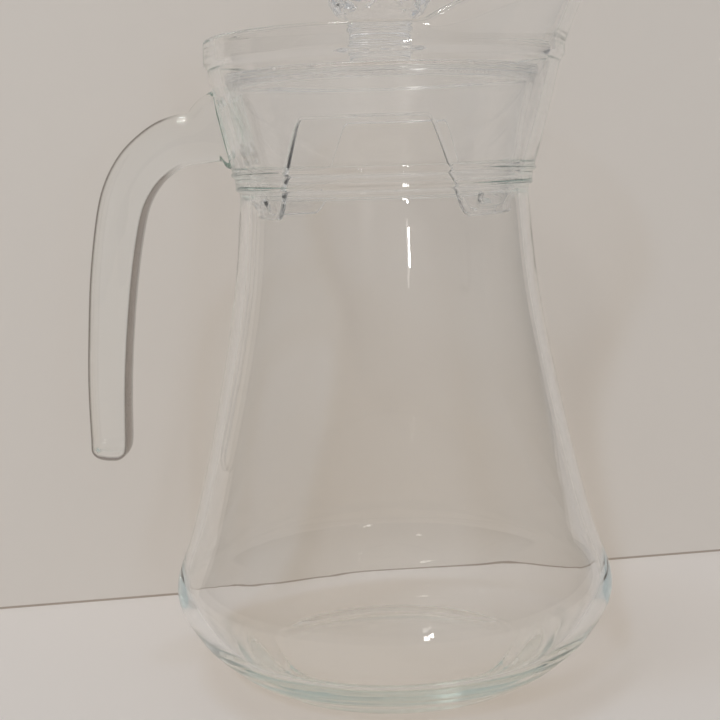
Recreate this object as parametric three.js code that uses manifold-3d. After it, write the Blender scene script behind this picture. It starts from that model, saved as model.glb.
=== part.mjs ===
// Household glass water jug with a lift-out clear lid and a faceted knob.
// Millimetres, +Z up. The origin is the centre of the flat base, on the jug's axis.
// The pouring lip points along +X and the handle along -X.
import * as THREE from 'three';
import { mergeVertices } from 'three/addons/utils/BufferGeometryUtils.js';
import { ConvexGeometry } from 'three/addons/geometries/ConvexGeometry.js';
import Module from 'manifold-3d';

const wasm = await Module();
wasm.setup();

// Clearance left between pieces that touch.
const FIT_GAP = 0.3;

// Glass bowl: a low round belly under a long cone.
const BASE_RADIUS = 40;
const BASE_THICKNESS = 7.5;
const BELLY_RADIUS = 68.4;
const BELLY_HEIGHT = 29;
const HIP_RADIUS = 62.4;
const HIP_HEIGHT = 48;
const SHOULDER_RADIUS = 55.2;
const SHOULDER_HEIGHT = 77;
const WAIST_RADIUS = 47.2;
const WAIST_HEIGHT = 117;
const NECK_RADIUS = 44;
const NECK_HEIGHT = 151;
const BOWL_WALL = 3;

// Collar: a raised ring at the neck, then a flared wall up to a thick rim.
const RING_RADIUS = 45.8;
const RING_HEIGHT = 5.5;
const NECK_BORE_RADIUS = 40.45;
const COLLAR_WALL = 3.6;
const LEDGE_RADIUS = 52.7;
const LEDGE_HEIGHT = 188.5;
const RIM_RADIUS = 53.1;
const RIM_HEIGHT = 195.4;
const RIM_ROUNDING = 1.2;
const LIP_FOOT_HEIGHT = 192;
const LIP_RISE = 15.5;
const LIP_FLARE = 0.46;
const LIP_HALF_ANGLE = THREE.MathUtils.degToRad(77);
const LIP_SHARPNESS = 2.6;
const SPOUT_PULL = 2.1;

// Handle: an open-ended hook. Each station is [x, z, half thickness] on its centreline.
const HANDLE_WIDTH = 18;
const HANDLE_STATIONS = [
  [-44, 170.6, 12.8], [-50.6, 169.6, 10.2], [-55.6, 167.8, 7.8], [-60.6, 167, 7.5], [-65.2, 165.4, 7.4],
  [-70.2, 162, 7.3], [-74.1, 158.1, 7.2], [-77.5, 152.8, 7], [-79.9, 146.6, 6.8], [-82, 137, 6.6],
  [-84, 124.5, 6.4], [-85.6, 110, 6.1], [-86.7, 97, 5.9], [-87.2, 86, 5.7], [-87.4, 76, 5.5],
  [-87.7, 68.4, 5.4],
];
const HANDLE_SECTION_SIDES = 24;
const HANDLE_SQUARENESS = 0.5;
const HANDLE_ROOT_FLARE = 0.35;
const HANDLE_STEPS = 36;
const HANDLE_TIP_STEPS = 5;
const HANDLE_TIP_START = 0.965;
const COLLAR_OUTSIDE_CORNERS = 9;

// Lid: a flat plate on a slightly conical skirt with two pouring windows.
const LID_TURN = THREE.MathUtils.degToRad(-7);
const PLATE_RADIUS = 46.8;
const PLATE_BOTTOM = 182.2;
const PLATE_BAND = 3.2;
const PLATE_THICKNESS = 2;
const SKIRT_BOTTOM = 142.7;
const SKIRT_BOTTOM_RADIUS = 38.4;
const SKIRT_SEAT_HEIGHT = 157.5;
const SKIRT_SEAT_RADIUS = 41;
const SKIRT_WINDOW_RADIUS = 43.3;
const SKIRT_TOP_RADIUS = 46.2;
const SKIRT_WALL = 1.8;
const WINDOW_TOP = 171;
const WINDOW_TOP_HALF_WIDTH = 17.8;
const WINDOW_BOTTOM_HALF_WIDTH = 25.6;
const LEG_CORNER = 5;
const BARB_RADIUS = 40.1;
const BARB_TOP = 149.6;
const BARB_BOTTOM = 144.4;
const BARB_WIDTH = 13;
const BARB_ANGLE = THREE.MathUtils.degToRad(56.5);

// Knob: a ringed stem under a cut-crystal head.
const STEM_TOP = 199.4;
const STEM_FLANGE_RADIUS = 10.2;
const STEM_WAIST_RADIUS = 9.2;
const STEM_RING_RADIUS = 9.9;
const STEM_RINGS = 3;
const KNOB_RADIUS = 15.4;
const KNOB_HEIGHT = 14.2;
const KNOB_SIDES = 12;

const ROUND_SEGMENTS = 64;
const SMALL_SEGMENTS = 36;

const GLASS_TINT = 0xdfe9e4;
const CLEAR_PLASTIC_TINT = 0xe9ebec;

// ---------- helpers ----------

function clearSolidMaterial(tint, roughness) {
  return new THREE.MeshStandardMaterial({
    color: tint, roughness, metalness: 0, transparent: true, opacity: 0.35,
  });
}

// Joins equal corners and drops triangles that have no area.
function weld(geometry) {
  const bare = geometry.clone();
  bare.deleteAttribute('normal');
  bare.deleteAttribute('uv');
  const merged = mergeVertices(bare, 1e-4);
  const kept = [];
  const index = merged.index.array;
  for (let i = 0; i < index.length; i += 3) {
    const [a, b, c] = [index[i], index[i + 1], index[i + 2]];
    if (a !== b && b !== c && c !== a) kept.push(a, b, c);
  }
  merged.setIndex(kept);
  return merged;
}

function toManifold(geometry) {
  const closed = weld(geometry);
  return new wasm.Manifold(new wasm.Mesh({
    numProp: 3,
    vertProperties: new Float32Array(closed.attributes.position.array),
    triVerts: new Uint32Array(closed.index.array),
  }));
}

function fromManifold(solid) {
  const mesh = solid.getMesh();
  const geometry = new THREE.BufferGeometry();
  geometry.setAttribute('position', new THREE.BufferAttribute(mesh.vertProperties, 3));
  geometry.setIndex(new THREE.BufferAttribute(mesh.triVerts, 1));
  geometry.computeVertexNormals();
  return geometry;
}

// Turns a closed outline of [radius, height] corners about the Z axis.
function revolve(outline, segments = ROUND_SEGMENTS) {
  const points = outline.map(([radius, height]) => new THREE.Vector2(radius, height));
  if (!THREE.ShapeUtils.isClockWise(points)) points.reverse();
  const startsOnAxis = points[0].x === 0 && points[points.length - 1].x === 0;
  if (!startsOnAxis) points.push(points[0].clone());
  points.reverse();
  const geometry = new THREE.LatheGeometry(points, segments);
  geometry.rotateX(Math.PI / 2);
  return weld(geometry);
}

function splinePoints(controls, count) {
  const curve = new THREE.SplineCurve(controls.map(([x, y]) => new THREE.Vector2(x, y)));
  return curve.getPoints(count).map((point) => [point.x, point.y]);
}

// How far a value has come from low to high, from 0 to 1.
function shareOf(value, low, high) {
  return THREE.MathUtils.clamp((value - low) / (high - low), 0, 1);
}

function namedMesh(name, geometry, material) {
  const mesh = new THREE.Mesh(geometry, material);
  mesh.name = name;
  return mesh;
}

// ---------- glass jug ----------

function bowlOutside() {
  return splinePoints([
    [BASE_RADIUS, 0],
    [BASE_RADIUS + 6.2, 2],
    [57, 9.5],
    [BELLY_RADIUS - 4.7, 17],
    [BELLY_RADIUS, BELLY_HEIGHT],
    [HIP_RADIUS, HIP_HEIGHT],
    [SHOULDER_RADIUS, SHOULDER_HEIGHT],
    [WAIST_RADIUS, WAIST_HEIGHT],
    [NECK_RADIUS, NECK_HEIGHT - FIT_GAP / 2],
  ], 24);
}

function bowlInside() {
  return splinePoints([
    [NECK_BORE_RADIUS, NECK_HEIGHT - FIT_GAP / 2],
    [NECK_RADIUS - BOWL_WALL + 0.2, NECK_HEIGHT - 5],
    [WAIST_RADIUS - BOWL_WALL, WAIST_HEIGHT],
    [SHOULDER_RADIUS - BOWL_WALL, SHOULDER_HEIGHT],
    [HIP_RADIUS - BOWL_WALL, HIP_HEIGHT],
    [BELLY_RADIUS - BOWL_WALL - 0.2, BELLY_HEIGHT + 1],
    [60.6, 18.5],
    [51.5, 10.8],
    [41, BASE_THICKNESS + 0.6],
    [30, BASE_THICKNESS],
  ], 18);
}

function bowl() {
  return revolve([[0, 0], ...bowlOutside(), ...bowlInside(), [0, BASE_THICKNESS]]);
}

// How far the rim stands up at an angle from the spout: 1 at the tip, 0 past the lip's ends.
function lipCrown(angle) {
  const share = Math.min(1, Math.abs(angle) / LIP_HALF_ANGLE);
  return 1 - share ** LIP_SHARPNESS;
}

// Pulls the round collar out towards the spout and lifts its rim into the pouring lip.
function shapeSpout(geometry) {
  const position = geometry.attributes.position;
  for (let i = 0; i < position.count; i += 1) {
    const [x, y, z] = [position.getX(i), position.getY(i), position.getZ(i)];
    const angle = Math.atan2(y, x);
    const climb = shareOf(z, NECK_HEIGHT + RING_HEIGHT, LEDGE_HEIGHT + RING_HEIGHT);
    const lift = shareOf(z, LIP_FOOT_HEIGHT, RIM_HEIGHT - RIM_ROUNDING);
    const rise = LIP_RISE * lipCrown(angle) * lift;
    const pull = SPOUT_PULL * Math.max(0, Math.cos(angle)) ** 2 * climb;
    const radius = Math.hypot(x, y) + pull + LIP_FLARE * rise;
    position.setXYZ(i, radius * Math.cos(angle), radius * Math.sin(angle), z + rise);
  }
  return geometry;
}

function collarOutline(swell = 0) {
  const foot = NECK_HEIGHT + FIT_GAP / 2;
  const ringTop = NECK_HEIGHT + RING_HEIGHT;
  const outside = [
    [NECK_RADIUS + swell, foot],
    [RING_RADIUS - 0.4 + swell, foot + 1.2],
    [RING_RADIUS + 0.3 + swell, ringTop - 0.8],
    [RING_RADIUS + swell, ringTop],
    [(RING_RADIUS + LEDGE_RADIUS) / 2 + swell, (ringTop + LEDGE_HEIGHT) / 2],
    [LEDGE_RADIUS - 0.6 + swell, LEDGE_HEIGHT - 1.6],
    [RIM_RADIUS + swell, LEDGE_HEIGHT],
    [RIM_RADIUS + swell, LIP_FOOT_HEIGHT],
    [RIM_RADIUS - 0.1 + swell, RIM_HEIGHT - 1],
  ];
  const inside = [
    [RIM_RADIUS - RIM_ROUNDING, RIM_HEIGHT],
    [RIM_RADIUS - COLLAR_WALL + 1, RIM_HEIGHT - 0.2],
    [RIM_RADIUS - COLLAR_WALL, RIM_HEIGHT - RIM_ROUNDING],
    [RIM_RADIUS - COLLAR_WALL - 0.2, LIP_FOOT_HEIGHT],
    [(RING_RADIUS + LEDGE_RADIUS) / 2 - COLLAR_WALL, (ringTop + LEDGE_HEIGHT) / 2],
    [RING_RADIUS - COLLAR_WALL, ringTop + 1.5],
    [NECK_BORE_RADIUS, foot + 1],
    [NECK_BORE_RADIUS, foot],
  ];
  return [...outside, ...inside];
}

function collar() {
  return shapeSpout(revolve(collarOutline()));
}

// Places one point of the straight, unit-sized blank on the hook's curved centreline.
function bendOntoHook(hook, across, sideways, along) {
  const straightShare = 1 - HANDLE_TIP_STEPS / HANDLE_STEPS;
  const tipTurn = Math.max(0, (along - straightShare) / (1 - straightShare)) * 0.48 * Math.PI;
  const tipReach = (1 - HANDLE_TIP_START) * Math.sin(tipTurn);
  const t = HANDLE_TIP_START * Math.min(1, along / straightShare) + tipReach;
  const station = hook.getPoint(t);
  const ahead = hook.getPoint(Math.min(1, t + 0.002));
  const behind = hook.getPoint(Math.max(0, t - 0.002));
  const heading = Math.atan2(ahead.y - behind.y, ahead.x - behind.x);
  const reach = across * station.z * Math.cos(tipTurn);
  const flare = 1 + HANDLE_ROOT_FLARE * Math.max(0, 1 - along / 0.12) ** 2;
  return new THREE.Vector3(
    station.x + reach * Math.sin(heading),
    (sideways * HANDLE_WIDTH / 2) * Math.cos(tipTurn) * flare,
    station.y - reach * Math.cos(heading),
  );
}

// A rounded bar, extruded straight and then bent along the hook.
function handle() {
  const section = new THREE.Shape();
  for (let corner = 0; corner < HANDLE_SECTION_SIDES; corner += 1) {
    const angle = (2 * Math.PI * corner) / HANDLE_SECTION_SIDES;
    const [c, s] = [Math.cos(angle), Math.sin(angle)];
    const point = [c, s].map((value) => Math.sign(value) * Math.abs(value) ** HANDLE_SQUARENESS);
    if (corner === 0) section.moveTo(...point);
    else section.lineTo(...point);
  }
  const blank = new THREE.ExtrudeGeometry(section, { steps: HANDLE_STEPS, depth: 1, bevelEnabled: false });
  const hook = new THREE.CatmullRomCurve3(HANDLE_STATIONS.map((station) => new THREE.Vector3(...station)));
  const position = blank.attributes.position;
  for (let i = 0; i < position.count; i += 1) {
    const place = bendOntoHook(hook, position.getX(i), position.getY(i), position.getZ(i));
    position.setXYZ(i, place.x, place.y, place.z);
  }
  const wall = collarOutline(FIT_GAP).slice(0, COLLAR_OUTSIDE_CORNERS);
  const foot = wall[0][1] - 10;
  const core = revolve([[0, foot], [wall[0][0], foot], ...wall, [0, RIM_HEIGHT - 1]]);
  return fromManifold(toManifold(blank).subtract(toManifold(core)));
}

// ---------- lid ----------

function plate() {
  const top = PLATE_BOTTOM + PLATE_BAND;
  const web = PLATE_BOTTOM + PLATE_THICKNESS;
  return revolve([
    [0, PLATE_BOTTOM],
    [PLATE_RADIUS - 0.4, PLATE_BOTTOM],
    [PLATE_RADIUS, PLATE_BOTTOM + 0.4],
    [PLATE_RADIUS, top - 0.4],
    [PLATE_RADIUS - 0.4, top],
    [PLATE_RADIUS - 2.2, top],
    [PLATE_RADIUS - 2.8, web],
    [0, web],
  ]);
}

function skirtBlank() {
  const top = PLATE_BOTTOM - FIT_GAP;
  const outside = [
    [SKIRT_BOTTOM_RADIUS, SKIRT_BOTTOM],
    [SKIRT_SEAT_RADIUS, SKIRT_SEAT_HEIGHT],
    [SKIRT_WINDOW_RADIUS, WINDOW_TOP],
    [SKIRT_TOP_RADIUS, top],
  ];
  const inside = outside.map(([radius, height]) => [radius - SKIRT_WALL, height]).reverse();
  return revolve([...outside, ...inside]);
}

// The cut for one opening, seen along Y: a tall trapezoid that flares out at the leg corners.
function windowOutline() {
  const low = SKIRT_BOTTOM - 5;
  const slope = (WINDOW_BOTTOM_HALF_WIDTH - WINDOW_TOP_HALF_WIDTH) / (WINDOW_TOP - SKIRT_BOTTOM);
  const cornerWidth = WINDOW_TOP_HALF_WIDTH + slope * (WINDOW_TOP - SKIRT_BOTTOM - LEG_CORNER);
  const wide = cornerWidth + LEG_CORNER;
  const shape = new THREE.Shape();
  shape.moveTo(-wide, low);
  shape.lineTo(-wide, SKIRT_BOTTOM);
  shape.quadraticCurveTo(-cornerWidth, SKIRT_BOTTOM, -cornerWidth, SKIRT_BOTTOM + LEG_CORNER);
  shape.lineTo(-WINDOW_TOP_HALF_WIDTH, WINDOW_TOP - 2);
  shape.quadraticCurveTo(-WINDOW_TOP_HALF_WIDTH, WINDOW_TOP, -WINDOW_TOP_HALF_WIDTH + 2, WINDOW_TOP);
  shape.lineTo(WINDOW_TOP_HALF_WIDTH - 2, WINDOW_TOP);
  shape.quadraticCurveTo(WINDOW_TOP_HALF_WIDTH, WINDOW_TOP, WINDOW_TOP_HALF_WIDTH, WINDOW_TOP - 2);
  shape.lineTo(cornerWidth, SKIRT_BOTTOM + LEG_CORNER);
  shape.quadraticCurveTo(cornerWidth, SKIRT_BOTTOM, wide, SKIRT_BOTTOM);
  shape.lineTo(wide, low);
  return shape;
}

// The barbs reach no further than this cylinder, which passes through the neck.
function barbLimit() {
  const low = SKIRT_BOTTOM;
  const high = SKIRT_SEAT_HEIGHT;
  return toManifold(revolve([[0, low], [BARB_RADIUS, low], [BARB_RADIUS, high], [0, high]]));
}

// A snap barb: a small ramp that is widest just under the neck ring.
function barb(angle) {
  const shape = new THREE.Shape();
  const rootRadius = SKIRT_BOTTOM_RADIUS - SKIRT_WALL + 0.6;
  shape.moveTo(rootRadius, BARB_BOTTOM);
  shape.lineTo(SKIRT_BOTTOM_RADIUS + 0.2, BARB_BOTTOM);
  shape.lineTo(BARB_RADIUS, BARB_TOP - 1.2);
  shape.lineTo(BARB_RADIUS, BARB_TOP);
  shape.lineTo(rootRadius, BARB_TOP);
  const geometry = new THREE.ExtrudeGeometry(shape, { depth: BARB_WIDTH, bevelEnabled: false });
  geometry.translate(0, 0, -BARB_WIDTH / 2);
  geometry.rotateX(Math.PI / 2);
  geometry.rotateZ(angle);
  return toManifold(geometry);
}

function skirt() {
  const depth = 4 * SKIRT_TOP_RADIUS;
  const cut = new THREE.ExtrudeGeometry(windowOutline(), { depth, curveSegments: 4, bevelEnabled: false });
  cut.translate(0, 0, -depth / 2);
  cut.rotateX(Math.PI / 2);
  let solid = toManifold(skirtBlank()).subtract(toManifold(cut));
  const limit = barbLimit();
  for (const face of [-Math.PI / 2, Math.PI / 2]) {
    for (const side of [-1, 1]) {
      solid = solid.add(barb(face + side * BARB_ANGLE).intersect(limit));
    }
  }
  return fromManifold(solid);
}

// ---------- knob ----------

function stem() {
  const foot = PLATE_BOTTOM + PLATE_THICKNESS + FIT_GAP;
  const flangeTop = foot + 3.8;
  const ringStart = flangeTop + 4.6;
  const pitch = (STEM_TOP - 0.8 - ringStart) / STEM_RINGS;
  const outline = [[0, foot], [STEM_FLANGE_RADIUS, foot], [STEM_FLANGE_RADIUS, flangeTop - 0.6]];
  outline.push([STEM_WAIST_RADIUS, flangeTop], [STEM_WAIST_RADIUS, ringStart]);
  for (let ring = 0; ring < STEM_RINGS; ring += 1) {
    const z = ringStart + ring * pitch;
    outline.push([STEM_RING_RADIUS, z + 0.3 * pitch], [STEM_RING_RADIUS, z + 0.65 * pitch]);
    outline.push([STEM_WAIST_RADIUS, z + pitch]);
  }
  outline.push([STEM_WAIST_RADIUS, STEM_TOP], [0, STEM_TOP]);
  return revolve(outline, SMALL_SEGMENTS);
}

// Rings of corners, each turned half a step from the last, give the cut facets.
function knob() {
  const foot = STEM_TOP + FIT_GAP;
  const rings = [
    { radius: STEM_WAIST_RADIUS, height: foot, step: 0 },
    { radius: 0.87 * KNOB_RADIUS, height: foot + 2.6, step: 0.5 },
    { radius: KNOB_RADIUS, height: foot + 5.8, step: 0 },
    { radius: KNOB_RADIUS, height: foot + 7.2, step: 0 },
    { radius: 0.83 * KNOB_RADIUS, height: foot + 11.4, step: 0.5 },
    { radius: 0.56 * KNOB_RADIUS, height: foot + KNOB_HEIGHT, step: 0 },
  ];
  const corners = [];
  for (const { radius, height, step } of rings) {
    for (let side = 0; side < KNOB_SIDES; side += 1) {
      const angle = (2 * Math.PI * (side + step)) / KNOB_SIDES;
      corners.push(new THREE.Vector3(radius * Math.cos(angle), radius * Math.sin(angle), height));
    }
  }
  return weld(new ConvexGeometry(corners));
}

// ---------- assembly ----------

const jug = new THREE.Group();
const glass = () => clearSolidMaterial(GLASS_TINT, 0.05);
const plastic = () => clearSolidMaterial(CLEAR_PLASTIC_TINT, 0.12);

jug.add(namedMesh('jug_bowl', bowl(), glass()));
jug.add(namedMesh('jug_collar', collar(), glass()));
jug.add(namedMesh('jug_handle', handle(), glass()));

const lid = new THREE.Group();
lid.rotation.z = LID_TURN;
lid.add(namedMesh('lid_plate', plate(), plastic()));
lid.add(namedMesh('lid_skirt', skirt(), plastic()));
lid.add(namedMesh('knob_stem', stem(), plastic()));
lid.add(namedMesh('knob_head', knob(), plastic()));
jug.add(lid);

export default jug;
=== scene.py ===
# Looks of a lidded glass water jug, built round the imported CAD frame.
# Metres, +Z up. The jug stands on z = 0 with its axis on x = y = 0, lip on +X and handle on -X.
import math

import bmesh
import bpy
from mathutils import Matrix, Vector, noise


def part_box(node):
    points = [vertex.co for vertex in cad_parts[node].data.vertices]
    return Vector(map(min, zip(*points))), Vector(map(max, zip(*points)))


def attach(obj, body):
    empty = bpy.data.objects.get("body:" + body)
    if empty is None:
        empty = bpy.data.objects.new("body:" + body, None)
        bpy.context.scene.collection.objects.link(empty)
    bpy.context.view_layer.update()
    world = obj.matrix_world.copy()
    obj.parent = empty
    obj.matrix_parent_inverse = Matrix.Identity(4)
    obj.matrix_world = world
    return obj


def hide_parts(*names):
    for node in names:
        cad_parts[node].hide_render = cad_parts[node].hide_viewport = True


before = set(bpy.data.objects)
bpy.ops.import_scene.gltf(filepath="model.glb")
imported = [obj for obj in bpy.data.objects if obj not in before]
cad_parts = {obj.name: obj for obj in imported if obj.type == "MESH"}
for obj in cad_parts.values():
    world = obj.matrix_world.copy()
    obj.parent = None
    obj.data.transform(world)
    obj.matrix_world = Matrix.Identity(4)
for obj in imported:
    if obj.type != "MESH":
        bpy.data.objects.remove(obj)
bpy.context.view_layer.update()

MM = 0.001
TAU = 2 * math.pi

# Corners of the CAD nodes, which give the heights and radii below.
BOWL_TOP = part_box("jug_bowl")[1]
COLLAR_LOW, COLLAR_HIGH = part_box("jug_collar")
PLATE_LOW, PLATE_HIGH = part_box("lid_plate")
SKIRT_LOW, SKIRT_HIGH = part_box("lid_skirt")
STEM_LOW, STEM_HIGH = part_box("knob_stem")
KNOB_LOW, KNOB_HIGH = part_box("knob_head")

# Glass jug, in millimetres: the same outline as the CAD, with its finer edges.
BELLY_RADIUS = BOWL_TOP.y / MM
NECK_HEIGHT = (BOWL_TOP.z + COLLAR_LOW.z) / 2 / MM
NECK_RADIUS = 44
BASE_THICKNESS = 7.5
RING_RADIUS = 45.8
RING_HEIGHT = 5.5
NECK_BORE_RADIUS = 40.5
COLLAR_WALL = 3.6
LEDGE_RADIUS = 52.7
LEDGE_HEIGHT = 188.5
RIM_RADIUS = 53.1
RIM_HEIGHT = 195.4
RIM_ROUNDING = 1.2
LIP_FOOT_HEIGHT = 192
LIP_RISE = COLLAR_HIGH.z / MM - RIM_HEIGHT
LIP_FLARE = 0.46
LIP_HALF_ANGLE = math.radians(77)
LIP_SHARPNESS = 2.6
SPOUT_PULL = 2.1
JUG_COLUMNS = 288

# Handle: [x, z, half thickness] along its centreline, in millimetres, from inside the collar's wall.
HANDLE_HALF_WIDTH = 9
HANDLE_CORNER = 3.4
HANDLE_CROWN = 0.35
HANDLE_TIP = 4.6
HANDLE_STATIONS = [
    (-46.8, 170.2, 12.8), (-50.6, 169.6, 10.2), (-55.6, 167.8, 7.8), (-60.6, 167, 7.5), (-65.2, 165.4, 7.4),
    (-70.2, 162, 7.3), (-74.1, 158.1, 7.2), (-77.5, 152.8, 7), (-79.9, 146.6, 6.8), (-82, 137, 6.6),
    (-84, 124.5, 6.4), (-85.6, 110, 6.1), (-86.7, 97, 5.9), (-87.2, 86, 5.7), (-87.4, 76, 5.5),
    (-87.6, 72.9, 5.4),
]

# Lid, in millimetres.
LID_TURN = math.radians(-7)
PLATE_RADIUS = PLATE_HIGH.x / MM
SKIRT_WALL = 1.8
WINDOW_TOP = 171
WINDOW_TOP_ANGLE = 24.3
WINDOW_FOOT_ANGLE = 41.8
BARB_ANGLE = 57.5
BARB_HALF_ANGLE = 9.2
BARB_RELIEF = 1.1
LID_COLUMNS = 480

KNOB_SIDES = 12

# Clear stuff: refraction, colour per metre of depth, surface waves, and the light let through on to what is
# behind it, face on and edge on.
GLASS = {
    "ior": 1.5, "absorb": (0.62, 0.88, 0.78), "density": 2, "wave_scale": 38, "wave_depth": 0.12 * MM,
    "shadow": ((0.993, 0.99, 0.988), (0.87, 0.81, 0.73)),
}
PLASTIC = {
    "ior": 1.49, "absorb": (0.93, 0.95, 0.96), "density": 6, "wave_scale": 60, "wave_depth": 0.05 * MM,
    "shadow": ((0.99, 0.99, 0.99), (0.88, 0.87, 0.86)),
}
CRYSTAL = {
    "ior": 1.56, "absorb": (0.95, 0.96, 0.97), "density": 3, "wave_scale": 80, "wave_depth": 0.01 * MM,
    "shadow": ((0.97, 0.97, 0.97), (0.75, 0.74, 0.73)),
}
WHITE = (1, 1, 1)
WAVE_STRENGTH = 0.6
MARK_SCALE = 260
MARK_ROUGHNESS = 0.006

# The handle's edges get a painted shade where they turn away from view: left of this x and above this z, each
# fading in over a short way.
HANDLE_ZONE_X = -60 * MM
HANDLE_ZONE_Z = 61 * MM
HANDLE_FADE_X = -6 * MM
HANDLE_FADE_Z = 4 * MM
HANDLE_PAINTED_SHADE_COLOUR = (0.1, 0.08, 0.07)
HANDLE_PAINTED_SHADE_SLANT = (0.28, 0.6)

# Stage: a table, and a wall close behind that runs away a little to the right, with a painted shadow strip at
# its foot.
TABLE_HALF = 1.4
TABLE_COLOUR = (0.755, 0.725, 0.71)
WALL_COLOUR = (0.72, 0.68, 0.64)
# Colour of the painted shadow strip where the wall meets the table.
FOOT_SHADOW_COLOUR = (0.42, 0.36, 0.31)
WALL_BEHIND = 0.0848
WALL_SKEW = 0.184
WALL_HALF = 0.2
WALL_TALL = 0.3
FOOT_SHADOW_TALL = 0.8 * MM
FOOT_SHADOW_CLEAR = 0.2 * MM

# Camera, in metres and degrees.
LENS = 65
SENSOR = 36
CAMERA_DISTANCE = 0.4
CAMERA_HEIGHT = 0.158
CAMERA_PITCH = 8.53
CAMERA_YAW = 1.26
CAMERA_ROLL = 1.7

# Light bounces many times inside thick clear walls before it leaves them.
CLEAR_BOUNCES = 64

# Colours of the room that the glass reflects and that lights the scene.
ROOM_FRONT = (0.35, 0.37, 0.4)
ROOM_TOP = (0.44, 0.43, 0.41)
ROOM_SIDES = (0.12, 0.12, 0.115)


# ---------- curves and meshes ----------

def catmull(points, steps):
    """A smooth curve through the points, with that many steps between each two."""
    knots = [Vector(p) for p in points]
    knots = [2 * knots[0] - knots[1]] + knots + [2 * knots[-1] - knots[-2]]
    curve = []
    for a, b, c, d in zip(knots, knots[1:], knots[2:], knots[3:]):
        for step in range(steps):
            t = step / steps
            curve.append(b + 0.5 * t * (c - a + t * (2 * a - 5 * b + 4 * c - d + t * (3 * (b - c) + d - a))))
    return curve + [knots[-2]]


def smoothstep(low, high, value):
    t = min(1, max(0, (value - low) / (high - low)))
    return t * t * (3 - 2 * t)


def arc(centre, radius, start, end, steps):
    """Points of a round edge in a profile, with angles in degrees."""
    return [(centre[0] + radius * math.cos(math.radians(start + (end - start) * k / steps)),
             centre[1] + radius * math.sin(math.radians(start + (end - start) * k / steps)))
            for k in range(steps + 1)]


def loft(name, rings):
    """A closed solid through rings of points, in millimetres; a ring of one point is a pole."""
    mesh = bpy.data.meshes.new(name)
    vertices = []
    starts = []
    for ring in rings:
        starts.append(len(vertices))
        vertices.extend(Vector(p) * MM for p in ring)
    faces = []
    for (a, ring_a), (b, ring_b) in zip(zip(starts, rings), zip(starts[1:], rings[1:])):
        count = max(len(ring_a), len(ring_b))
        for k in range(count):
            following = (k + 1) % count
            if len(ring_a) == 1:
                faces.append((a, b + k, b + following))
            elif len(ring_b) == 1:
                faces.append((a + following, a + k, b))
            else:
                faces.append((a + following, a + k, b + k, b + following))
    mesh.from_pydata(vertices, [], faces)
    work = bmesh.new()
    work.from_mesh(mesh)
    bmesh.ops.recalc_face_normals(work, faces=work.faces)
    for face in work.faces:
        face.smooth = True
    work.to_mesh(mesh)
    work.free()
    piece = bpy.data.objects.new(name, mesh)
    bpy.context.scene.collection.objects.link(piece)
    return piece


def circle(radius, height, columns):
    return [(radius * math.cos(TAU * k / columns), radius * math.sin(TAU * k / columns), height)
            for k in range(columns)]


def turned(profile, columns):
    """Rings of a profile of (radius, height) corners turned about the axis."""
    return [[(0, 0, height)] if radius == 0 else circle(radius, height, columns)
            for radius, height in profile]


# ---------- glass jug ----------

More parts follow.
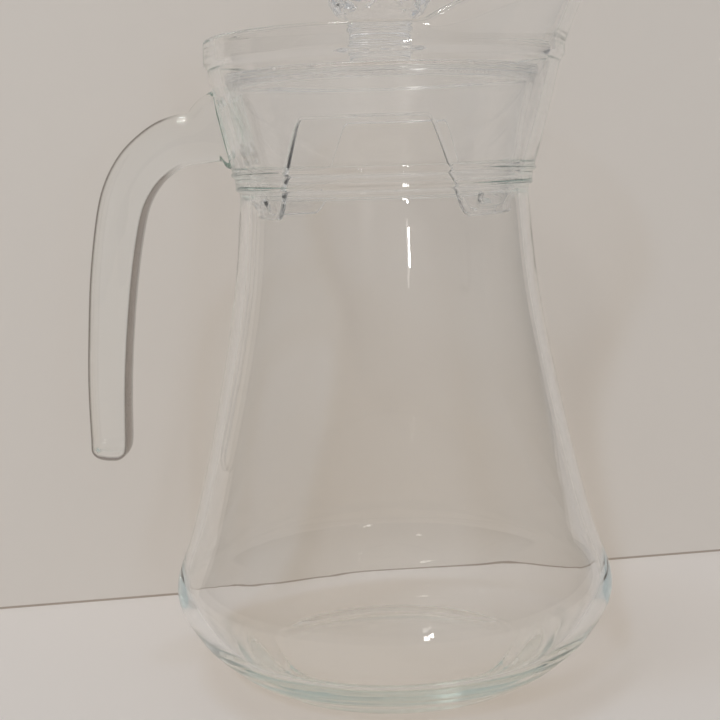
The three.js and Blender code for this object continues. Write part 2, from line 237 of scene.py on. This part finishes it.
def jug_profile():
    """Corners of (radius, height) from the middle of the underside, over the rim, down to the inner floor."""
    underside = [(0, 1.3), (15, 1.25), (27, 1.0), (34, 0.55), (37, 0.15), (38.6, 0.02)]
    bowl_outside = catmull([
        (40.5, 0.1), (46.2, 2), (52, 5.5), (57, 9.5), (BELLY_RADIUS - 4.7, 17), (BELLY_RADIUS, 29),
        (62.4, 48), (55.2, 77), (47.2, 117), (NECK_RADIUS + 0.1, NECK_HEIGHT - 6),
        (NECK_RADIUS - 0.1, NECK_HEIGHT - 0.6),
    ], 10)
    ring_top = NECK_HEIGHT + RING_HEIGHT
    ring = [
        (NECK_RADIUS + 0.1, NECK_HEIGHT - 0.2), (NECK_RADIUS + 0.7, NECK_HEIGHT),
        (NECK_RADIUS + 1.05, NECK_HEIGHT + 0.35), (NECK_RADIUS + 1.1, NECK_HEIGHT + 0.9),
        (NECK_RADIUS + 1.0, NECK_HEIGHT + 1.5), (RING_RADIUS - 0.5, ring_top - 1.6),
        (RING_RADIUS + 0.15, ring_top - 1.3), (RING_RADIUS + 0.45, ring_top - 0.8),
        (RING_RADIUS + 0.45, ring_top - 0.4), (RING_RADIUS + 0.2, ring_top), (RING_RADIUS, ring_top + 0.3),
    ]
    middle = ((RING_RADIUS + LEDGE_RADIUS) / 2, (ring_top + LEDGE_HEIGHT) / 2)
    collar_outside = catmull([
        (RING_RADIUS + 0.3, ring_top + 1.6), middle, (LEDGE_RADIUS - 0.9, LEDGE_HEIGHT - 2.2),
    ], 14)
    rim = [
        (LEDGE_RADIUS - 0.65, LEDGE_HEIGHT - 1.5), (LEDGE_RADIUS - 0.2, LEDGE_HEIGHT - 0.8),
        (RIM_RADIUS - 0.15, LEDGE_HEIGHT - 0.2), (RIM_RADIUS, LEDGE_HEIGHT + 0.3),
        (RIM_RADIUS, LEDGE_HEIGHT + 1.6), (RIM_RADIUS - 0.05, LIP_FOOT_HEIGHT),
    ]
    lift_steps = 6
    edge_height = RIM_HEIGHT - RIM_ROUNDING
    for step in range(1, lift_steps + 1):
        rim.append((RIM_RADIUS - 0.1, LIP_FOOT_HEIGHT + (edge_height - LIP_FOOT_HEIGHT) * step / lift_steps))
    rim += arc((RIM_RADIUS - 0.1 - RIM_ROUNDING, edge_height), RIM_ROUNDING, 15, 90, 6)
    inner_rim = RIM_RADIUS - COLLAR_WALL
    rim += arc((inner_rim + RIM_ROUNDING, edge_height), RIM_ROUNDING, 90, 180, 6)
    for step in range(1, lift_steps + 1):
        height = edge_height + (LIP_FOOT_HEIGHT - edge_height) * step / lift_steps
        rim.append((inner_rim - 0.2 * step / lift_steps, height))
    inside = catmull([
        (inner_rim - 0.6, LEDGE_HEIGHT), (middle[0] - COLLAR_WALL, middle[1]),
        (RING_RADIUS - COLLAR_WALL + 0.1, ring_top + 2), (NECK_BORE_RADIUS + 0.5, NECK_HEIGHT + 2),
        (NECK_BORE_RADIUS, NECK_HEIGHT + 0.6), (NECK_BORE_RADIUS + 0.3, NECK_HEIGHT - 1.6),
        (NECK_RADIUS - 2.8, NECK_HEIGHT - 5), (44.2, 117), (52.2, 77), (59.4, 48), (BELLY_RADIUS - 3.2, 30),
        (60.6, 18.5), (51.5, 10.8), (41, BASE_THICKNESS + 0.6), (30, BASE_THICKNESS),
    ], 10)
    floor = [(20, BASE_THICKNESS), (10, BASE_THICKNESS + 0.05), (0, BASE_THICKNESS + 0.1)]
    return underside + [tuple(p) for p in bowl_outside] + ring + [tuple(p) for p in collar_outside] \
        + rim + [tuple(p) for p in inside] + floor


def lip_crown(angle):
    """1 at the spout's tip, falling to 0 at the ends of the pouring lip."""
    return 1 - min(1, abs(angle) / LIP_HALF_ANGLE) ** LIP_SHARPNESS


def shape_glass(point):
    """Pulls the collar out at the spout, lifts the lip, and adds the faint waves of pressed glass."""
    x, y, z = point
    if x == y == 0:
        return point
    angle = math.atan2(y, x)
    climb = min(1, max(0, (z - NECK_HEIGHT - RING_HEIGHT) / (LEDGE_HEIGHT - NECK_HEIGHT)))
    lift = min(1, max(0, (z - LIP_FOOT_HEIGHT) / (RIM_HEIGHT - RIM_ROUNDING - LIP_FOOT_HEIGHT)))
    rise = LIP_RISE * lip_crown(angle) * lift
    radius = math.hypot(x, y) + SPOUT_PULL * max(0, math.cos(angle)) ** 2 * climb + LIP_FLARE * rise
    wave = 0.05 * noise.noise(Vector((x, y, z)) * 0.045) - 0.05
    radius += wave * smoothstep(2, 14, z)
    return (radius * math.cos(angle), radius * math.sin(angle), z + rise)


def handle_section(station, heading, shrink=1.0):
    """A rounded bar's section, a little crowned on each face, across the handle's centreline."""
    thick, wide = station[2], HANDLE_HALF_WIDTH
    flat_thick, flat_wide = thick - HANDLE_CORNER, wide - HANDLE_CORNER
    outline = []
    for quarter, (side_a, side_b) in enumerate(((1, 1), (-1, 1), (-1, -1), (1, -1))):
        centre = (side_a * flat_thick, side_b * flat_wide)
        outline += arc(centre, HANDLE_CORNER, 90 * quarter, 90 * quarter + 90, 8)
        for share in (0.25, 0.5, 0.75):
            crown = HANDLE_CROWN * (1 - (2 * share - 1) ** 2)
            if quarter % 2 == 0:
                outline.append((side_a * flat_thick * (1 - 2 * share), side_b * (wide + crown)))
            else:
                outline.append((side_a * (thick + crown), side_b * flat_wide * (1 - 2 * share)))
    return [(station[0] + across * shrink * math.sin(heading), sideways * shrink,
             station[1] - across * shrink * math.cos(heading)) for across, sideways in outline]


def make_handle():
    spine = catmull(HANDLE_STATIONS, 8)
    headings = []
    for i, here in enumerate(spine):
        behind, ahead = spine[max(0, i - 1)], spine[min(len(spine) - 1, i + 1)]
        headings.append(math.atan2(ahead[1] - behind[1], ahead[0] - behind[0]))
    sections = [handle_section(here, heading) for here, heading in zip(spine, headings)]
    root = [(spine[0][0], 0, spine[0][1])]
    end, heading = spine[-1], headings[-1]
    tip = []
    for step in range(1, 9):
        turn = step / 9 * math.pi / 2
        station = (end[0] + HANDLE_TIP * math.sin(turn) * math.cos(heading),
                   end[1] + HANDLE_TIP * math.sin(turn) * math.sin(heading), end[2])
        tip.append(handle_section(station, heading, math.cos(turn)))
    pole = [(end[0] + HANDLE_TIP * math.cos(heading), 0, end[1] + HANDLE_TIP * math.sin(heading))]
    return loft("handle_blank", [root] + sections + tip + [pole])


def make_jug_glass():
    """Bowl, collar and handle as one continuous piece of glass."""
    rings = [[shape_glass(point) for point in ring] for ring in turned(jug_profile(), JUG_COLUMNS)]
    jug = loft("jug_glass", rings)
    handle = make_handle()
    join = jug.modifiers.new("join", "BOOLEAN")
    join.operation = "UNION"
    join.solver = "EXACT"
    join.object = handle
    whole = jug.evaluated_get(bpy.context.evaluated_depsgraph_get())
    joined = bpy.data.meshes.new_from_object(whole)
    jug.modifiers.clear()
    jug.data = joined
    bpy.data.objects.remove(handle)
    return jug


# ---------- lid ----------

def skirt_radius(z):
    """Outside radius of the skirt: a cone that is a little steeper at its top."""
    heights = (142.7, 157.5, 171, 181.9)
    radii = (38.4, 41, 43.3, 46.2)
    for low, high, a, b in zip(heights, heights[1:], radii, radii[1:]):
        if z <= high or high == heights[-1]:
            return a + (b - a) * (z - low) / (high - low)


def window_share(angle):
    """1 over a window and 0 over a leg, straight between, at an angle in degrees from the window's middle."""
    return min(1, max(0, (WINDOW_FOOT_ANGLE - angle) / (WINDOW_FOOT_ANGLE - WINDOW_TOP_ANGLE)))


def skirt_edge(angle):
    """Height of the skirt's lower edge, with rounded corners."""
    progress = min(1, max(0, (angle - WINDOW_TOP_ANGLE) / (WINDOW_FOOT_ANGLE - WINDOW_TOP_ANGLE)))
    blur = 2.5 + 5 * progress
    samples = [window_share(angle + blur * (k / 10 - 0.5)) for k in range(11)]
    low = SKIRT_LOW.z / MM
    return low + (WINDOW_TOP - low) * sum(samples) / len(samples)


def window_angle(column_angle):
    """Angle in degrees from the nearest window's middle; the windows face -Y and +Y."""
    turn = math.degrees(column_angle) % 180
    return abs(turn - 90)


def barb_relief(angle, z):
    across = 1 - smoothstep(BARB_HALF_ANGLE - 0.4, BARB_HALF_ANGLE, abs(angle - BARB_ANGLE))
    ramp = smoothstep(144.4, 148.6, z) * (1 - smoothstep(149.6, 150.0, z))
    return BARB_RELIEF * across * ramp


def skirt_rows():
    """Shares of the skirt's height, closer together where the barbs start and end."""
    barb = [0.0, 0.02, 0.043, 0.07, 0.1, 0.13, 0.152, 0.164, 0.176, 0.188, 0.2]
    rest = [0.2 + 0.8 * k / 22 for k in range(1, 23)]
    return barb + rest


def skirt_column(column_angle):
    """Points of one column as (angle, z, side): side 1 is the outer surface and -1 the inner."""
    angle = window_angle(column_angle)
    low = skirt_edge(angle)
    slope = (skirt_edge(angle + 0.1) - skirt_edge(angle - 0.1)) / (0.2 * math.radians(1) * skirt_radius(low))
    away = 1 if math.degrees(column_angle) % 180 > 90 else -1
    length = math.hypot(1, slope)
    along, up = -slope / length * away, 1 / length
    top = SKIRT_HIGH.z / MM
    half = SKIRT_WALL / 2

    def inward(distance):
        return (column_angle + along * distance / skirt_radius(low), low + up * distance)

    start = inward(half)
    outer = []
    for share in skirt_rows():
        outer.append((start[0] + (column_angle - start[0]) * share, start[1] + (top - start[1]) * share, 1.0))
    edge = []
    for step in range(1, 6):
        turn = step / 6 * math.pi
        edge.append((*inward(half * (1 - math.sin(turn))), math.cos(turn)))
    inner = [(a, z, -1.0) for a, z, _ in outer]
    return outer, edge, inner


def lid_point(angle, z, side):
    radius = skirt_radius(z) - SKIRT_WALL / 2 + side * SKIRT_WALL / 2
    if side == 1.0:
        radius += barb_relief(window_angle(angle), z)
    return (radius * math.cos(angle + LID_TURN), radius * math.sin(angle + LID_TURN), z)


def make_lid():
    bottom = PLATE_LOW.z / MM
    top = PLATE_HIGH.z / MM
    web = bottom + 2
    columns = [skirt_column(TAU * k / LID_COLUMNS) for k in range(LID_COLUMNS)]
    outer_rows = list(zip(*(column[0] for column in columns)))
    edge_rows = list(zip(*(column[1] for column in columns)))
    inner_rows = list(zip(*(column[2] for column in columns)))
    inner_radius = skirt_radius(SKIRT_HIGH.z / MM) - SKIRT_WALL

    def round_row(radius, z):
        return [(radius * math.cos(TAU * k / LID_COLUMNS + LID_TURN),
                 radius * math.sin(TAU * k / LID_COLUMNS + LID_TURN), z) for k in range(LID_COLUMNS)]

    rings = [[(0, 0, bottom)]]
    rings += [round_row(inner_radius * share, bottom) for share in (0.1, 0.4, 0.7, 0.9)]
    rings += [round_row(inner_radius - 0.9, bottom), round_row(inner_radius - 0.35, bottom - 0.1)]
    rings.append(round_row(inner_radius - 0.08, bottom - 0.3))
    rings += [[lid_point(*p) for p in row] for row in reversed(inner_rows[1:-1])]
    rings += [[lid_point(*p) for p in inner_rows[0]]]
    rings += [[lid_point(*p) for p in row] for row in reversed(edge_rows)]
    rings += [[lid_point(*p) for p in row] for row in outer_rows]
    # How far in from the plate's edge, and how high.
    flange = [
        (0.45, bottom - 0.1), (0.12, bottom + 0.1), (0, bottom + 0.45), (0, (bottom + top) / 2),
        (0, top - 0.5), (0.15, top - 0.15), (0.5, top), (1.2, top), (1.9, top), (2.2, top - 0.12),
        (2.45, top - 0.5), (2.7, web + 0.3), (2.95, web + 0.08), (3.4, web),
    ]
    rings += [round_row(PLATE_RADIUS - inset, z) for inset, z in flange]
    rings += [round_row((PLATE_RADIUS - 3.4) * share, web) for share in (0.9, 0.7, 0.4, 0.1)]
    rings.append([(0, 0, web)])
    return loft("lid_moulding", rings)


def make_stem():
    """A ringed round stem with a foot flange."""
    foot, head = STEM_LOW.z / MM, STEM_HIGH.z / MM
    flange, waist, ring = STEM_HIGH.x / MM, 9.2, 9.9
    flange_top = foot + 3.8
    profile = [(0, foot), (flange - 2, foot), (flange - 0.4, foot)]
    profile += arc((flange - 0.4, foot + 0.4), 0.4, -90, 0, 3)[1:]
    profile += arc((flange - 0.6, flange_top - 0.9), 0.6, 0, 90, 4)
    profile += [(waist + 0.35, flange_top - 0.25), (waist + 0.06, flange_top), (waist, flange_top + 0.4)]
    first = flange_top + 4.6
    pitch = (head - 0.8 - first) / 3
    for turn in range(3):
        start = first + turn * pitch
        for step in range(9):
            share = step / 8
            swell = math.sin(math.pi * share) ** 0.7
            profile.append((waist + (ring - waist) * swell, start + pitch * share * 0.92))
    profile += [(waist, head - 0.5), (waist - 0.15, head - 0.12), (waist - 0.4, head), (0, head)]
    return loft("knob_stem_clear", turned(profile, 96))


def make_knob():
    """Cut facets: each ring of corners is turned half a step from the last."""
    foot = KNOB_LOW.z / MM
    widest = KNOB_HIGH.x / MM * math.cos(math.radians(0.2))
    cuts = [(0.6, 0.0, 0), (0.87, 2.6, 0.5), (1.0, 5.8, 0), (1.0, 7.2, 0), (0.83, 11.4, 0.5), (0.56, 14.2, 0)]
    work = bmesh.new()
    for share, height, step in cuts:
        for side in range(KNOB_SIDES):
            angle = TAU * (side + step) / KNOB_SIDES + LID_TURN
            radius = widest * share
            work.verts.new(Vector((radius * math.cos(angle), radius * math.sin(angle), foot + height)) * MM)
    bmesh.ops.convex_hull(work, input=work.verts)
    bmesh.ops.dissolve_limit(work, angle_limit=math.radians(1), verts=work.verts, edges=work.edges)
    bmesh.ops.recalc_face_normals(work, faces=work.faces)
    mesh = bpy.data.meshes.new("knob_crystal")
    work.to_mesh(mesh)
    work.free()
    piece = bpy.data.objects.new("knob_crystal", mesh)
    bpy.context.scene.collection.objects.link(piece)
    bevel = piece.modifiers.new("cut_edges", "BEVEL")
    bevel.width = 0.18 * MM
    bevel.segments = 2
    bevel.limit_method = "ANGLE"
    bevel.angle_limit = math.radians(5)
    return piece


# ---------- materials ----------

def clear_material(name, stuff, paint_handle_shade=False):
    """Clear solid stuff: waves and fine marks in its surface, and a tint that grows with depth."""
    material = bpy.data.materials.new(name)
    material.use_nodes = True
    tree = material.node_tree
    tree.nodes.clear()
    add = tree.nodes.new
    link = tree.links.new

    surface = add("ShaderNodeBsdfPrincipled")
    surface.inputs["Base Color"].default_value = (*WHITE, 1)
    surface.inputs["IOR"].default_value = stuff["ior"]
    surface.inputs["Transmission Weight"].default_value = 1

    place = add("ShaderNodeTexCoord")
    waves = add("ShaderNodeTexNoise")
    waves.inputs["Scale"].default_value = stuff["wave_scale"]
    waves.inputs["Detail"].default_value = 2
    marks = add("ShaderNodeTexNoise")
    marks.inputs["Scale"].default_value = MARK_SCALE
    marks.inputs["Detail"].default_value = 6
    for texture in (waves, marks):
        link(place.outputs["Object"], texture.inputs["Vector"])
    bump = add("ShaderNodeBump")
    bump.inputs["Strength"].default_value = WAVE_STRENGTH
    bump.inputs["Distance"].default_value = stuff["wave_depth"]
    link(waves.outputs["Fac"], bump.inputs["Height"])
    link(bump.outputs["Normal"], surface.inputs["Normal"])
    haze = add("ShaderNodeMapRange")
    haze.inputs["From Min"].default_value = 0.52
    haze.inputs["From Max"].default_value = 0.78
    haze.inputs["To Min"].default_value = 0.0
    haze.inputs["To Max"].default_value = MARK_ROUGHNESS
    link(marks.outputs["Fac"], haze.inputs["Value"])
    link(haze.outputs["Result"], surface.inputs["Roughness"])

    # On the handle, a painted shade darkens the colour where the surface turns away from view, for dark edge
    # lines.
    if paint_handle_shade:
        split = add("ShaderNodeSeparateXYZ")
        link(place.outputs["Object"], split.inputs["Vector"])
        reaches = []
        for axis, start, fade in (("X", HANDLE_ZONE_X, HANDLE_FADE_X), ("Z", HANDLE_ZONE_Z, HANDLE_FADE_Z)):
            reach = add("ShaderNodeMapRange")
            reach.inputs["From Min"].default_value = start
            reach.inputs["From Max"].default_value = start + fade
            link(split.outputs[axis], reach.inputs["Value"])
            reaches.append(reach.outputs["Result"])
        there = add("ShaderNodeMath")
        there.operation = "MULTIPLY"
        link(reaches[0], there.inputs[0])
        link(reaches[1], there.inputs[1])
        slant = add("ShaderNodeLayerWeight")
        slant.inputs["Blend"].default_value = 0.5
        turned_away = add("ShaderNodeMapRange")
        turned_away.interpolation_type = "SMOOTHSTEP"
        turned_away.inputs["From Min"].default_value = HANDLE_PAINTED_SHADE_SLANT[0]
        turned_away.inputs["From Max"].default_value = HANDLE_PAINTED_SHADE_SLANT[1]
        link(slant.outputs["Facing"], turned_away.inputs["Value"])
        painted_shade_amount = add("ShaderNodeMath")
        painted_shade_amount.operation = "MULTIPLY"
        link(there.outputs[0], painted_shade_amount.inputs[0])
        link(turned_away.outputs["Result"], painted_shade_amount.inputs[1])
        edge = add("ShaderNodeMix")
        edge.data_type = "RGBA"
        edge.inputs["A"].default_value = (*WHITE, 1)
        edge.inputs["B"].default_value = (*HANDLE_PAINTED_SHADE_COLOUR, 1)
        link(painted_shade_amount.outputs[0], edge.inputs["Factor"])
        link(edge.outputs["Result"], surface.inputs["Base Color"])

    # Light that falls on what is behind passes straight through, dimmed more at the edges.
    rays = add("ShaderNodeLightPath")
    falling = add("ShaderNodeMath")
    falling.operation = "MAXIMUM"
    link(rays.outputs["Is Shadow Ray"], falling.inputs[0])
    link(rays.outputs["Is Diffuse Ray"], falling.inputs[1])
    facing = add("ShaderNodeLayerWeight")
    facing.inputs["Blend"].default_value = 0.35
    dim = add("ShaderNodeMix")
    dim.data_type = "RGBA"
    dim.inputs["A"].default_value = (*stuff["shadow"][0], 1)
    dim.inputs["B"].default_value = (*stuff["shadow"][1], 1)
    link(facing.outputs["Facing"], dim.inputs["Factor"])
    through = add("ShaderNodeBsdfTransparent")
    link(dim.outputs["Result"], through.inputs["Color"])
    choose = add("ShaderNodeMixShader")
    link(falling.outputs[0], choose.inputs["Fac"])
    link(surface.outputs["BSDF"], choose.inputs[1])
    link(through.outputs["BSDF"], choose.inputs[2])
    output = add("ShaderNodeOutputMaterial")
    link(choose.outputs["Shader"], output.inputs["Surface"])

    depth = add("ShaderNodeVolumeAbsorption")
    depth.inputs["Color"].default_value = (*stuff["absorb"], 1)
    depth.inputs["Density"].default_value = stuff["density"]
    link(depth.outputs["Volume"], output.inputs["Volume"])
    return material


def painted_material(name, colour, roughness, mottle, one_sided=False):
    """A matt painted surface with a faint mottle; one-sided ones don't show from behind."""
    material = bpy.data.materials.new(name)
    material.use_nodes = True
    tree = material.node_tree
    add = tree.nodes.new
    link = tree.links.new
    surface = tree.nodes["Principled BSDF"]
    output = tree.nodes["Material Output"]
    surface.inputs["Roughness"].default_value = roughness
    place = add("ShaderNodeTexCoord")
    texture = add("ShaderNodeTexNoise")
    texture.inputs["Scale"].default_value = 9
    texture.inputs["Detail"].default_value = 5
    link(place.outputs["Object"], texture.inputs["Vector"])
    blend = add("ShaderNodeMix")
    blend.data_type = "RGBA"
    blend.inputs["A"].default_value = (*[c * (1 - mottle) for c in colour], 1)
    blend.inputs["B"].default_value = (*[min(1, c * (1 + mottle)) for c in colour], 1)
    link(texture.outputs["Fac"], blend.inputs["Factor"])
    link(blend.outputs["Result"], surface.inputs["Base Color"])
    if one_sided:
        side = add("ShaderNodeNewGeometry")
        clear = add("ShaderNodeBsdfTransparent")
        choose = add("ShaderNodeMixShader")
        link(side.outputs["Backfacing"], choose.inputs["Fac"])
        link(surface.outputs["BSDF"], choose.inputs[1])
        link(clear.outputs["BSDF"], choose.inputs[2])
        link(choose.outputs["Shader"], output.inputs["Surface"])
    return material


# ---------- stage, lights and camera ----------

def make_plane(name, corners, material):
    mesh = bpy.data.meshes.new(name)
    mesh.from_pydata([Vector(c) for c in corners], [], [(0, 1, 2, 3)])
    piece = bpy.data.objects.new(name, mesh)
    piece.data.materials.append(material)
    bpy.context.scene.collection.objects.link(piece)


def make_wall(name, behind, tall, material):
    left, right = behind - WALL_SKEW * WALL_HALF, behind + WALL_SKEW * WALL_HALF
    make_plane(name, [(-WALL_HALF, left, 0), (WALL_HALF, right, 0), (WALL_HALF, right, tall),
                      (-WALL_HALF, left, tall)], material)


def make_stage():
    table = painted_material("pale_table", TABLE_COLOUR, 0.5, 0.015)
    wall = painted_material("plain_wall", WALL_COLOUR, 0.8, 0.015, one_sided=True)
    # A dark strip at the wall's foot is a painted shadow of the gap between wall and table.
    shadow_strip = painted_material("painted_foot_shadow", FOOT_SHADOW_COLOUR, 0.9, 0.05, one_sided=True)
    half = TABLE_HALF
    make_plane("table_top", [(-half, -half, 0), (half, -half, 0), (half, half, 0), (-half, half, 0)], table)
    make_wall("back_wall", WALL_BEHIND, WALL_TALL, wall)
    make_wall("wall_foot_shadow", WALL_BEHIND - FOOT_SHADOW_CLEAR, FOOT_SHADOW_TALL, shadow_strip)


def make_area(name, place, aim, size, power, colour, shape="RECTANGLE"):
    data = bpy.data.lights.new(name, "AREA")
    data.shape = shape
    data.size, data.size_y = size
    data.energy = power
    data.color = colour
    lamp = bpy.data.objects.new(name, data)
    lamp.location = place
    lamp.rotation_euler = (Vector(aim) - Vector(place)).to_track_quat("-Z", "Y").to_euler()
    bpy.context.scene.collection.objects.link(lamp)


def make_room():
    """Soft light from all round: brightest above, cool in front, dim to both sides near the table's level."""
    world = bpy.data.worlds.new("room")
    world.use_nodes = True
    bpy.context.scene.world = world
    tree = world.node_tree
    add = tree.nodes.new
    link = tree.links.new
    background = tree.nodes["Background"]
    place = add("ShaderNodeTexCoord")
    split = add("ShaderNodeSeparateXYZ")
    link(place.outputs["Generated"], split.inputs["Vector"])

    def share(value, low, high):
        step = add("ShaderNodeMapRange")
        step.interpolation_type = "SMOOTHSTEP"
        step.inputs["From Min"].default_value = low
        step.inputs["From Max"].default_value = high
        link(value, step.inputs["Value"])
        return step.outputs["Result"]

    def mixed(factor, first, second):
        mix = add("ShaderNodeMix")
        mix.data_type = "RGBA"
        link(factor, mix.inputs["Factor"])
        for socket, colour in (("A", first), ("B", second)):
            if isinstance(colour, tuple):
                mix.inputs[socket].default_value = (*colour, 1)
            else:
                link(colour, mix.inputs[socket])
        return mix.outputs["Result"]

    aside = add("ShaderNodeMath")
    aside.operation = "ABSOLUTE"
    link(split.outputs["X"], aside.inputs[0])
    low = add("ShaderNodeMath")
    low.operation = "SUBTRACT"
    low.inputs[0].default_value = 1
    link(share(split.outputs["Z"], 0.1, 0.6), low.inputs[1])
    dim = add("ShaderNodeMath")
    dim.operation = "MULTIPLY"
    link(share(aside.outputs[0], 0.55, 0.85), dim.inputs[0])
    link(low.outputs[0], dim.inputs[1])
    sky = mixed(share(split.outputs["Z"], -0.1, 0.9), ROOM_FRONT, ROOM_TOP)
    link(mixed(dim.outputs[0], sky, ROOM_SIDES), background.inputs["Color"])
    background.inputs["Strength"].default_value = 1


def make_lights():
    make_room()
    make_area("ceiling_soft", (-0.36, -0.2, 1.5), (0, 0, 0.05), (0.2, 0.2), 4.4, (1, 0.98, 0.95), "DISK")
    make_area("key_soft", (-0.62, -1.9, 1.6), (0, 0, 0.1), (0.14, 0.14), 15.5, (1, 0.99, 0.97), "DISK")
    make_area("window_slit", (0.35, -1.14, 0.235), (0, 0, 0.06), (0.03, 0.09), 0.5, (1, 0.98, 0.95))
    make_area("window_low", (0.3, -1.15, 0.17), (0, 0, 0.04), (0.06, 0.12), 0.5, (1, 0.98, 0.95))


def make_camera():
    data = bpy.data.cameras.new("camera")
    data.sensor_width = SENSOR
    data.lens = LENS
    data.clip_start = 0.01
    camera = bpy.data.objects.new("camera", data)
    pitch, yaw, roll = (math.radians(turn) for turn in (CAMERA_PITCH, CAMERA_YAW, CAMERA_ROLL))
    forward = Vector((-math.sin(yaw) * math.cos(pitch), math.cos(yaw) * math.cos(pitch), -math.sin(pitch)))
    right = Vector((math.cos(yaw), math.sin(yaw), 0))
    up = right.cross(forward)
    # The object leans anticlockwise in the picture, so the camera leans clockwise.
    lean_right = right * math.cos(roll) - up * math.sin(roll)
    lean_up = up * math.cos(roll) + right * math.sin(roll)
    camera.matrix_world = Matrix((
        (lean_right.x, lean_up.x, -forward.x, 0),
        (lean_right.y, lean_up.y, -forward.y, -CAMERA_DISTANCE),
        (lean_right.z, lean_up.z, -forward.z, CAMERA_HEIGHT),
        (0, 0, 0, 1),
    ))
    bpy.context.scene.collection.objects.link(camera)
    bpy.context.scene.camera = camera


# ---------- assembly ----------

def finish_piece(piece, material, body, slot, *nodes):
    piece.data.materials.append(material)
    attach(piece, body)
    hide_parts(*nodes)


make_camera()
make_lights()
make_stage()
# The glass gets a painted shade along the handle's edges.
glass = clear_material("pressed_glass", GLASS, paint_handle_shade=True)
plastic = clear_material("clear_plastic", PLASTIC)
crystal = clear_material("cut_crystal", CRYSTAL)
finish_piece(make_jug_glass(), glass, "jug", "jug_glass", "jug_bowl", "jug_collar", "jug_handle")
finish_piece(make_lid(), plastic, "lid", "lid_plastic", "lid_plate", "lid_skirt")
finish_piece(make_stem(), plastic, "lid_stem", "lid_plastic", "knob_stem")
finish_piece(make_knob(), crystal, "lid", "knob_crystal", "knob_head")

scene = bpy.context.scene
scene.view_settings.view_transform = "Standard"
scene.cycles.max_bounces = CLEAR_BOUNCES + 8
scene.cycles.transmission_bounces = CLEAR_BOUNCES
scene.cycles.transparent_max_bounces = 24
scene.cycles.glossy_bounces = CLEAR_BOUNCES
scene.cycles.sample_clamp_indirect = 4
